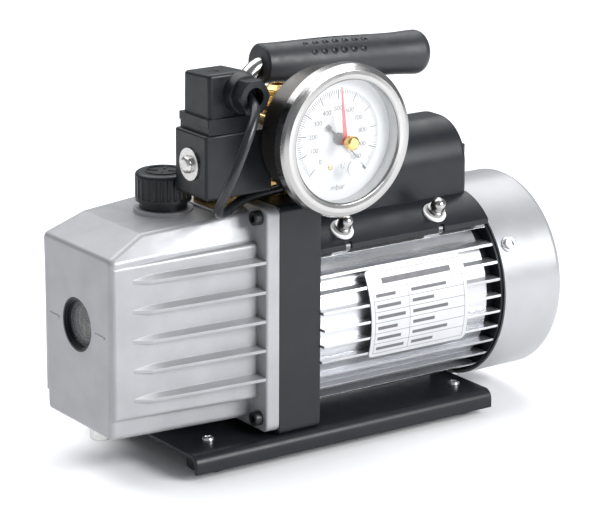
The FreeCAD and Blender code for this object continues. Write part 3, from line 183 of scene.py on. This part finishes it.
def finish(name, colour, roughness, metallic=0.0, *, shade, spread, mottle, grain, depth,
           stretch=EVEN, edge=SOFT_EDGE, **sockets):
    """Surface with a slow mottle of colour, a slow change of gloss and a fine grain.

    shade is the mottle's share of the colour and spread the change of roughness; mottle and
    grain are in cells per metre, and depth is the grain's height.
    """
    material, tree, shader = new_material(name, colour, roughness, metallic, **sockets)
    slow = add_noise(tree, mottle, MOTTLE_DETAIL, stretch)
    light = tuple(min(1.0, c * (1 + shade)) for c in colour)
    dark = tuple(c * (1 - shade) for c in colour)
    tint(tree, shader.inputs["Base Color"], slow, dark, light)
    vary(tree, shader.inputs["Roughness"], add_noise(tree, mottle * GLOSS_TO_MOTTLE, GLOSS_DETAIL, stretch),
         max(LOWEST_ROUGHNESS, roughness - spread), roughness + spread)
    roughen(tree, shader, add_noise(tree, grain, GRAIN_DETAIL, stretch), depth, edge)
    return material


# Materials: the part's slots, and four that only this script uses

MATERIALS = {
    # Paints and metals of the body
    "cast_silver": finish(
        "cast_silver_paint", (0.32, 0.325, 0.34), roughness=0.38, metallic=0.3,
        shade=0.05, spread=0.06, mottle=45, grain=1400, depth=0.06 * MM),
    "silver_paint": finish(
        "cowl_silver_paint", (0.36, 0.365, 0.38), roughness=0.34, metallic=0.45,
        shade=0.03, spread=0.04, mottle=40, grain=1800, depth=0.02 * MM),
    "extruded_aluminium": finish(
        "extruded_aluminium", (0.55, 0.56, 0.58), roughness=0.3, metallic=0.85,
        shade=0.06, spread=0.08, mottle=90, grain=1500, depth=0.03 * MM, stretch=BRUSHED_X),
    "black_enamel": finish(
        "black_enamel", (0.009, 0.0105, 0.014), roughness=0.34, metallic=0.0,
        shade=0.12, spread=0.05, mottle=50, grain=1600, depth=0.03 * MM, Specular_IOR_Level=0.3),
    # Plastics and rubber
    "black_plastic": finish(
        "moulded_black", (0.008, 0.0095, 0.012), roughness=0.36, metallic=0.0,
        shade=0.12, spread=0.06, mottle=70, grain=2200, depth=0.02 * MM, Specular_IOR_Level=0.3),
    "black_rubber": finish(
        "black_rubber", (0.01, 0.0115, 0.015), roughness=0.45, metallic=0.0,
        shade=0.12, spread=0.08, mottle=90, grain=2600, depth=0.03 * MM),
    "nylon": finish(
        "white_nylon", (0.8, 0.8, 0.8), roughness=0.5, metallic=0.0,
        shade=0.03, spread=0.05, mottle=150, grain=2600, depth=0.02 * MM),
    "white_plastic": finish(
        "white_can", (0.78, 0.78, 0.76), roughness=0.4, metallic=0.0,
        shade=0.03, spread=0.05, mottle=90, grain=2600, depth=0.02 * MM),
    "red_plastic": finish(
        "red_lacquer", (0.62, 0.015, 0.03), roughness=0.3, metallic=0.0,
        shade=0.05, spread=0.05, mottle=90, grain=2600, depth=0.01 * MM),
    "cable_pvc": finish(
        "cable_sheath", (0.009, 0.0105, 0.013), roughness=0.3, metallic=0.0,
        shade=0.1, spread=0.06, mottle=120, grain=2400, depth=0.02 * MM),
    # Screws, fittings and the valve
    "bright_screw": finish(
        "zinc_screw", (0.68, 0.68, 0.7), roughness=0.28, metallic=1.0,
        shade=0.08, spread=0.08, mottle=300, grain=3000, depth=0.02 * MM),
    "dark_screw": finish(
        "black_oxide", (0.03, 0.03, 0.033), roughness=0.35, metallic=0.6,
        shade=0.15, spread=0.08, mottle=300, grain=3000, depth=0.02 * MM),
    "steel": finish(
        "machined_steel", (0.56, 0.55, 0.54), roughness=0.25, metallic=1.0,
        shade=0.06, spread=0.08, mottle=200, grain=2600, depth=0.02 * MM),
    "brass": finish(
        "machined_brass", (0.72, 0.5, 0.2), roughness=0.24, metallic=1.0,
        shade=0.08, spread=0.07, mottle=150, grain=2600, depth=0.02 * MM),
    "chrome": finish(
        "polished_chrome", (0.4, 0.395, 0.39), roughness=0.2, metallic=1.0,
        shade=0.03, spread=0.03, mottle=80, grain=2600, depth=0.008 * MM),
    # Name plate and gauge
    "plate_foil": finish(
        "plate_foil", (0.5, 0.51, 0.53), roughness=0.42, metallic=0.3,
        shade=0.03, spread=0.05, mottle=60, grain=2600, depth=0.01 * MM),
    "dial_white": finish(
        "dial_white", (0.6, 0.61, 0.63), roughness=0.45, metallic=0.0,
        shade=0.015, spread=0.04, mottle=40, grain=2600, depth=0.004 * MM),
    "needle_black": finish(
        "needle_black", (0.012, 0.012, 0.014), roughness=0.4, metallic=0.0,
        shade=0.1, spread=0.05, mottle=90, grain=2600, depth=0.004 * MM),
    # Insides
    "gasket_sheet": finish(
        "gasket_sheet", (0.06, 0.06, 0.06), roughness=0.8, metallic=0.0,
        shade=0.2, spread=0.05, mottle=200, grain=2600, depth=0.03 * MM),
    "cast_iron": finish(
        "ground_iron", (0.25, 0.25, 0.26), roughness=0.35, metallic=1.0,
        shade=0.1, spread=0.08, mottle=200, grain=2600, depth=0.03 * MM),
    "vane_plastic": finish(
        "vane_composite", (0.1, 0.07, 0.05), roughness=0.55, metallic=0.0,
        shade=0.2, spread=0.08, mottle=300, grain=2600, depth=0.02 * MM),
    "lamination_steel": finish(
        "varnished_windings", (0.28, 0.13, 0.06), roughness=0.4, metallic=0.3,
        shade=0.2, spread=0.1, mottle=300, grain=900, depth=0.2 * MM),
}
CASE_STEEL = finish(
    "case_steel", (0.07, 0.066, 0.062), roughness=0.2, metallic=0.8,
    shade=0.06, spread=0.05, mottle=60, grain=2600, depth=0.01 * MM)
INK = finish(
    "printed_ink", (0.02, 0.02, 0.022), roughness=0.6, metallic=0.0,
    shade=0.1, spread=0.05, mottle=200, grain=2600, depth=0.002 * MM, edge=0.0)
PLATE_INK = finish(
    "plate_ink", (0.1, 0.1, 0.11), roughness=0.5, metallic=0.0,
    shade=0.1, spread=0.05, mottle=200, grain=2600, depth=0.002 * MM, edge=0.0)
CLEAR_NYLON = finish(
    "clear_nylon", (0.75, 0.76, 0.78), roughness=0.3, metallic=0.0,
    shade=0.03, spread=0.05, mottle=200, grain=2600, depth=0.01 * MM)


def clear_glass():
    material, tree, shader = new_material("clear_glass", (0.9, 0.93, 0.94), 0.04, Alpha=0.1)
    vary(tree, shader.inputs["Roughness"], add_noise(tree, 60.0), LOWEST_ROUGHNESS, 0.06)
    return material


MATERIALS["clear_glass"] = clear_glass()


def paint(piece, material):
    piece.data.materials.clear()
    piece.data.materials.append(material)


for subpart in frame["record"]["subparts"]:
    paint(nodes[subpart["node"]], MATERIALS[subpart["material_slot"]])
paint(nodes["gauge_case"], CASE_STEEL)


# Piece helpers

def add_piece(name, mesh, material, body="pump"):
    piece = bpy.data.objects.new(name, mesh)
    bpy.context.scene.collection.objects.link(piece)
    paint(piece, material)
    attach(piece, body)
    return piece


def mesh_from(name, build, smooth=False):
    """Mesh filled in by a function that is handed an empty bmesh."""
    bm = bmesh.new()
    build(bm)
    bmesh.ops.recalc_face_normals(bm, faces=bm.faces)
    for face in bm.faces:
        face.smooth = smooth
    mesh = bpy.data.meshes.new(name)
    bm.to_mesh(mesh)
    bm.free()
    return mesh


# The valve's cable

CABLE_D = 0.0056
# The route of the part's own cable.
CABLE_ROUTE = [
    (-0.0782, -0.0420, 0.2216), (-0.0800, -0.0516, 0.2194), (-0.0846, -0.0592, 0.2142),
    (-0.0908, -0.0632, 0.2064), (-0.0958, -0.0642, 0.1968), (-0.0998, -0.0634, 0.1868),
    (-0.1028, -0.0602, 0.1768), (-0.1038, -0.0544, 0.1672), (-0.1018, -0.0472, 0.1596),
    (-0.0958, -0.0408, 0.1552), (-0.0876, -0.0354, 0.1548), (-0.0786, -0.0308, 0.1568),
    (-0.0692, -0.0278, 0.1586), (-0.0592, -0.0274, 0.1594), (-0.0492, -0.0292, 0.1610),
    (-0.0396, -0.0308, 0.1630), (-0.0306, -0.0288, 0.1642), (-0.0224, -0.0234, 0.1638),
    (-0.0150, -0.0168, 0.1624), (-0.0076, -0.0108, 0.1612), (0.0014, -0.0070, 0.1610),
]


def add_cable():
    """Round tube along the route, from the valve's plug to the capacitor cover."""
    curve = bpy.data.curves.new("valve_lead", "CURVE")
    curve.dimensions = "3D"
    spline = curve.splines.new("NURBS")
    spline.points.add(len(CABLE_ROUTE) - 1)
    for point, place in zip(spline.points, CABLE_ROUTE):
        point.co = (*place, 1.0)
    spline.order_u = 3
    spline.use_endpoint_u = True
    curve.resolution_u = 12
    curve.bevel_depth = CABLE_D / 2
    curve.bevel_resolution = 8
    curve.use_fill_caps = True
    lead = bpy.data.objects.new("valve_lead", curve)
    bpy.context.scene.collection.objects.link(lead)
    curve.materials.append(MATERIALS["cable_pvc"])
    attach(lead, "pump")
    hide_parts("valve_cable")


add_cable()


# Shape helpers

# Turned outlines stop this far from their axis.
AXIS_R = 0.01 * MM


def add_quad(bm, corners):
    bm.faces.new([bm.verts.new(corner) for corner in corners])


def add_slab(bm, outline, lift):
    """Closed slab: a flat outline and its copy moved by lift, joined by walls."""
    low = [bm.verts.new(point) for point in outline]
    high = [bm.verts.new(point + lift) for point in outline]
    bm.faces.new(low)
    bm.faces.new(list(reversed(high)))
    for i, corner in enumerate(low):
        j = (i + 1) % len(low)
        bm.faces.new((corner, high[i], high[j], low[j]))


def add_turned(bm, profile, place, steps=48):
    """Turn a closed (distance, radius) outline; place(distance, radius, angle) gives the point."""
    rings = []
    for i in range(steps):
        angle = 2 * math.pi * i / steps
        rings.append([bm.verts.new(place(d, r, angle)) for d, r in profile])
    for i, ring in enumerate(rings):
        after = rings[(i + 1) % steps]
        for j in range(len(profile)):
            k = (j + 1) % len(profile)
            bm.faces.new((ring[j], ring[k], after[k], after[j]))


def add_turned_piece(name, profile, place, material, steps=48, smooth=False):
    def build(bm):
        add_turned(bm, profile, place, steps)
    add_piece(name, mesh_from(name, build, smooth), material)


def upright_at(x, y):
    """Placing function for turned shapes that stand upright; their distance is the height."""
    def place(z, radius, angle):
        return Vector((x + radius * math.cos(angle), y + radius * math.sin(angle), z))
    return place


def along_gauge(x, z):
    """Placing function for turned shapes parallel to the gauge's axis, offset from it by x and z."""
    def place(y, radius, angle):
        return Vector((GAUGE.x + x + radius * math.cos(angle), y, GAUGE.z + z + radius * math.sin(angle)))
    return place


def dome_profile(seat, radius, height, steps=6):
    """Closed outline of a low domed button standing towards -Y."""
    rim = []
    for i in range(steps + 1):
        angle = math.pi / 2 * i / steps
        rim.append((seat - height * math.sin(angle), radius * math.cos(angle) + AXIS_R))
    return rim + [(seat, AXIS_R)]


# Dial

FULL_SCALE = 1000
NUMBER_STEP = 100
DIVISIONS = 100
ZERO_ANGLE, SWEEP = math.radians(225), math.radians(270)
INK_T = 0.06 * MM
# Each mark runs from its own radius out to SCALE_R.
SCALE_R = 28.3 * MM
TEN_R, TEN_W = 22.6 * MM, 0.55 * MM
FIVE_R, FIVE_W = 24.8 * MM, 0.4 * MM
ONE_R, ONE_W = 25.8 * MM, 0.34 * MM
END_R, END_W = 25.4 * MM, 1.1 * MM
END_SHARE = 1.006
NUMBER_R, NUMBER_SIZE = 17.4 * MM, 4.0 * MM
UNIT_R, UNIT_SIZE = 28.6 * MM, 4.8 * MM
DIAL_SCREW_R, DIAL_SCREW_RISE = 1.7 * MM, 0.8 * MM
LEFT_SCREW_X, RIGHT_SCREW_X, DIAL_SCREW_Z = -5.3 * MM, 3.6 * MM, -16.3 * MM
VENT_X, VENT_Z = 4.7 * MM, -16.0 * MM
VENT_R, VENT_FACE_R, VENT_RIM_R, VENT_DISH_R = 4.6 * MM, 4.2 * MM, 2.7 * MM, 2.4 * MM
VENT_SIDE, VENT_RISE, VENT_DISH_RISE = 0.7 * MM, 1.0 * MM, 0.5 * MM


def on_dial(radius, angle, lift=0.0):
    """A point on the dial's face, angle counted from +X towards +Z."""
    x, z = GAUGE.x + radius * math.cos(angle), GAUGE.z + radius * math.sin(angle)
    return Vector((x, DIAL_FRONT - lift, z))


def scale_angle(share):
    """Angle of a share of the full scale, which runs clockwise as the dial is seen."""
    return ZERO_ANGLE - SWEEP * share


def tick(bm, angle, inner, width):
    across = Vector((-math.sin(angle), 0, math.cos(angle))) * width / 2
    near, far = on_dial(inner, angle), on_dial(SCALE_R, angle)
    add_slab(bm, [near - across, far - across, far + across, near + across], Vector((0, -INK_T, 0)))


def build_scale(bm):
    """Hundred divisions: long marks at the tens, middling ones at the fives, a thick last one."""
    for i in range(DIVISIONS + 1):
        if i % 10 == 0:
            inner, width = TEN_R, TEN_W
        elif i % 5 == 0:
            inner, width = FIVE_R, FIVE_W
        else:
            inner, width = ONE_R, ONE_W
        tick(bm, scale_angle(i / DIVISIONS), inner, width)
    tick(bm, scale_angle(END_SHARE), END_R, END_W)


def lettering(text, size, place):
    """Flat text standing upright on the dial, centred at a place."""
    curve = bpy.data.curves.new("dial_text", "FONT")
    curve.body = text
    curve.size = size
    curve.align_x = "CENTER"
    curve.align_y = "CENTER"
    curve.extrude = INK_T / 2
    holder = bpy.data.objects.new("dial_text", curve)
    mesh = bpy.data.meshes.new_from_object(holder)
    mesh.transform(Matrix.Translation(place) @ Matrix.Rotation(math.pi / 2, 4, "X"))
    bpy.data.objects.remove(holder)
    bpy.data.curves.remove(curve)
    return mesh


def add_dial_print():
    """The scale, its numbers from zero to the full scale, and the unit under them."""
    add_piece("dial_scale", mesh_from("dial_scale", build_scale), INK)
    bm = bmesh.new()
    for value in range(0, FULL_SCALE + NUMBER_STEP, NUMBER_STEP):
        place = on_dial(NUMBER_R, scale_angle(value / FULL_SCALE), INK_T / 2)
        bm.from_mesh(lettering(str(value), NUMBER_SIZE, place))
    bm.from_mesh(lettering("mbar", UNIT_SIZE, on_dial(UNIT_R, -math.pi / 2, INK_T / 2)))
    mesh = bpy.data.meshes.new("dial_numbers")
    bm.to_mesh(mesh)
    bm.free()
    add_piece("dial_numbers", mesh, INK)


def add_dial_screws():
    head = dome_profile(DIAL_FRONT, DIAL_SCREW_R, DIAL_SCREW_RISE)
    for name, x, material in (("dial_screw_left", LEFT_SCREW_X, MATERIALS["brass"]),
                              ("dial_screw_right", RIGHT_SCREW_X, MATERIALS["steel"])):
        add_turned_piece(name, head, along_gauge(x, DIAL_SCREW_Z), material, 24, True)


def add_vent_plug():
    """Clear plug in the glass, with a dished front."""
    side, face, dish = LENS_FRONT - VENT_SIDE, LENS_FRONT - VENT_RISE, LENS_FRONT - VENT_DISH_RISE
    profile = [(LENS_FRONT, VENT_R), (side, VENT_R), (face, VENT_FACE_R), (face, VENT_RIM_R),
               (dish, VENT_DISH_R), (dish, AXIS_R), (LENS_FRONT, AXIS_R)]
    add_turned_piece("vent_plug", profile, along_gauge(VENT_X, VENT_Z), CLEAR_NYLON)


def brass_knob():
    """The set hand's node is red under the glass and brass outside it."""
    node = nodes["set_pointer"]
    node.data.materials.append(MATERIALS["brass"])
    for face in node.data.polygons:
        if (node.matrix_world @ face.center).y < LENS_FRONT:
            face.material_index = 1


# Name plate

PLATE_LOW, PLATE_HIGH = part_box("name_plate")
PLATE_R = (SHAFT.y - PLATE_LOW.y) + 0.03 * MM
PLATE_MARGIN = 2.5 * MM
# Angles on the plate are in degrees.
PLATE_FROM, TABLE_TO, PLATE_TO = -17.6, 19.5, 29.4
ROWS = 6
SPLIT_SHARE = 0.38
RULE_W, RULE_DEG = 0.3 * MM, 0.28
ENTRY_DEG = 1.9
ENTRY_IN_ROW = 0.35
HEADING_FROM, HEADING_TO = 22.6, 26.0
HEADING_INSET = 8 * MM
LABEL_INSET, VALUE_INSET = 2 * MM, 2.5 * MM
PATCH_DEG = 1.5


def plate_patch(bm, x0, x1, low_deg, high_deg):
    """Thin curved patch on the plate; angles are counted up from the shaft's level on the -Y side."""
    steps = max(2, int(abs(high_deg - low_deg) / PATCH_DEG))
    for i in range(steps):
        corners = []
        for x, j in ((x0, i), (x1, i), (x1, i + 1), (x0, i + 1)):
            angle = math.radians(low_deg + (high_deg - low_deg) * j / steps)
            y, z = SHAFT.y - PLATE_R * math.cos(angle), SHAFT.z + PLATE_R * math.sin(angle)
            corners.append(Vector((x, y, z)))
        add_quad(bm, corners)


def build_plate_print(bm):
    """Border, table rules and grey bars where a name plate carries its entries."""
    left, right = PLATE_LOW.x + PLATE_MARGIN, PLATE_HIGH.x - PLATE_MARGIN
    split = left + (right - left) * SPLIT_SHARE
    row_deg = (TABLE_TO - PLATE_FROM) / ROWS
    for x in (left, right - RULE_W):
        plate_patch(bm, x, x + RULE_W, PLATE_FROM, PLATE_TO)
    plate_patch(bm, split, split + RULE_W, PLATE_FROM, TABLE_TO)
    for angle in [PLATE_FROM + row_deg * i for i in range(ROWS + 1)] + [PLATE_TO]:
        plate_patch(bm, left, right, angle, angle + RULE_DEG)
    for i in range(ROWS):
        angle = PLATE_FROM + row_deg * (i + ENTRY_IN_ROW)
        # The bars differ in length from row to row.
        label_end = split - (3 + 3 * (i % 3)) * MM
        value_end = split + (right - split) * (0.45 + 0.12 * (i * 2 % 4))
        plate_patch(bm, left + LABEL_INSET, label_end, angle, angle + ENTRY_DEG)
        plate_patch(bm, split + VALUE_INSET, value_end, angle, angle + ENTRY_DEG)
    plate_patch(bm, left + HEADING_INSET, right - HEADING_INSET, HEADING_FROM, HEADING_TO)


def add_plate_print():
    add_piece("plate_print", mesh_from("plate_print", build_plate_print, True), PLATE_INK)


# Inlet port's thread

THREAD_PITCH = 1.41 * MM
THREAD_CORE_R, THREAD_CREST_R = 7.9 * MM, 8.25 * MM
CREST_SHARE, RIDGE_SHARE = 0.5, 0.95
THREAD_TURNS = 5
THREAD_FROM_TOP = 2.8 * MM


def add_flare_thread():
    """Ridges of the inlet port's thread."""
    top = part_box("inlet_valve_body")[1].z - THREAD_FROM_TOP
    def build(bm):
        for i in range(THREAD_TURNS):
            z = top - THREAD_PITCH * (i + 1)
            ridge = [(z, THREAD_CORE_R), (z + THREAD_PITCH * CREST_SHARE, THREAD_CREST_R),
                     (z + THREAD_PITCH * RIDGE_SHARE, THREAD_CORE_R)]
            add_turned(bm, ridge, upright_at(INLET_PORT.x, INLET_PORT.y))
    add_piece("flare_thread", mesh_from("flare_thread", build), MATERIALS["brass"])


# Filler cap's moulding

MOULDING_SUNK, MOULDING_RISE = 0.1 * MM, 0.5 * MM
RING_OUTER_R, RING_INNER_R, RING_SLOPE = 10.6 * MM, 9.4 * MM, 0.2 * MM
RIBS = 4
RIB_FROM, RIB_TO, RIB_HALF_W = 3.2 * MM, 9.5 * MM, 0.7 * MM


def add_cap_moulding():
    """Raised ring and short ribs on the filler cap's top."""
    cap = middle("oil_filler_cap")
    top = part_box("oil_filler_cap")[1].z
    foot = top - MOULDING_SUNK
    ring = [(foot, RING_OUTER_R), (top + MOULDING_RISE, RING_OUTER_R - RING_SLOPE),
            (top + MOULDING_RISE, RING_INNER_R + RING_SLOPE), (foot, RING_INNER_R)]
    def build(bm):
        add_turned(bm, ring, upright_at(cap.x, cap.y), 64)
        for i in range(RIBS):
            angle = math.radians(45) + 2 * math.pi * i / RIBS
            out = Vector((math.cos(angle), math.sin(angle), 0))
            side = Vector((-out.y, out.x, 0)) * RIB_HALF_W
            inner, outer = (Vector((cap.x, cap.y, foot)) + out * r for r in (RIB_FROM, RIB_TO))
            add_slab(bm, [inner - side, outer - side, outer + side, inner + side],
                     Vector((0, 0, MOULDING_RISE)))
    add_piece("cap_moulding", mesh_from("cap_moulding", build), MATERIALS["black_plastic"], "filler_cap")


# Coil spring of the inlet valve's plunger

WIRE_R = 0.38 * MM
COIL_TURNS, COIL_STEPS, WIRE_SIDES = 5, 24, 10


def build_coil(bm, start, end, axis, coil_r):
    """Closed helical wire along +X; axis gives the helix's Y and Z."""
    rings = []
    count = COIL_TURNS * COIL_STEPS
    for i in range(count + 1):
        angle = 2 * math.pi * i / COIL_STEPS
        out = Vector((0, math.cos(angle), math.sin(angle)))
        centre = Vector((start + (end - start) * i / count, axis.y, axis.z)) + out * coil_r
        ring = []
        for j in range(WIRE_SIDES):
            around = 2 * math.pi * j / WIRE_SIDES
            offset = out * WIRE_R * math.cos(around) + Vector((1, 0, 0)) * WIRE_R * math.sin(around)
            ring.append(bm.verts.new(centre + offset))
        rings.append(ring)
    for ring, after in zip(rings, rings[1:]):
        for j in range(WIRE_SIDES):
            k = (j + 1) % WIRE_SIDES
            bm.faces.new((ring[j], ring[k], after[k], after[j]))
    bm.faces.new(rings[0])
    bm.faces.new(list(reversed(rings[-1])))


def add_plunger_spring():
    """Coil spring behind the plunger, attached to the plunger's body and moving with it."""
    low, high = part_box("plunger_spring")
    axis = middle("plunger_spring")
    coil_r = (high.z - low.z) / 2 - WIRE_R
    def build(bm):
        build_coil(bm, low.x + WIRE_R, high.x - WIRE_R, axis, coil_r)
    coil = mesh_from("return_spring", build, True)
    spring = add_piece("return_spring", coil, MATERIALS["steel"], "plunger")
    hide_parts("plunger_spring")
    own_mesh(spring)


add_plunger_spring()
add_dial_print()
add_dial_screws()
add_vent_plug()
brass_knob()
add_plate_print()
add_flare_thread()
add_cap_moulding()


# Stage

FLOOR_SIZE = 6.0
WORLD_COLOUR, WORLD_STRENGTH = (0.93, 0.96, 1.0), 0.34


def add_floor():
    def build(bm):
        bmesh.ops.create_grid(bm, x_segments=8, y_segments=8, size=FLOOR_SIZE)
    floor = bpy.data.objects.new("floor", mesh_from("floor", build))
    bpy.context.scene.collection.objects.link(floor)
    paint(floor, finish("floor_white", (0.93, 0.93, 0.94), roughness=0.6, shade=0.01, spread=0.03, mottle=3,
                        grain=60, depth=0.02 * MM, edge=0.0))


def add_area_light(name, place, target, size, power):
    """Rectangular lamp of a given width and height at a place, turned towards a target."""
    light = bpy.data.lights.new(name, "AREA")
    light.shape = "RECTANGLE"
    light.size, light.size_y = size
    light.energy = power
    lamp = bpy.data.objects.new(name, light)
    bpy.context.scene.collection.objects.link(lamp)
    lamp.location = place
    lamp.rotation_euler = (Vector(target) - Vector(place)).to_track_quat("-Z", "Y").to_euler()


def add_world():
    world = bpy.data.worlds.new("studio")
    world.use_nodes = True
    background = world.node_tree.nodes["Background"]
    background.inputs["Color"].default_value = (*WORLD_COLOUR, 1.0)
    background.inputs["Strength"].default_value = WORLD_STRENGTH
    bpy.context.scene.world = world


add_floor()
add_world()
add_area_light("key", place=(0.7, -1.7, 1.0), target=(0, 0, 0.1), size=(1.1, 1.0), power=52)
add_area_light("fill", place=(-1.5, -0.7, 0.6), target=(0, 0, 0.1), size=(0.8, 1.0), power=0.6)
add_area_light("top", place=(0.2, 1.0, 2.2), target=(0, 0.2, 0.0), size=(3.4, 2.6), power=90)
bpy.context.scene.view_settings.view_transform = "Standard"
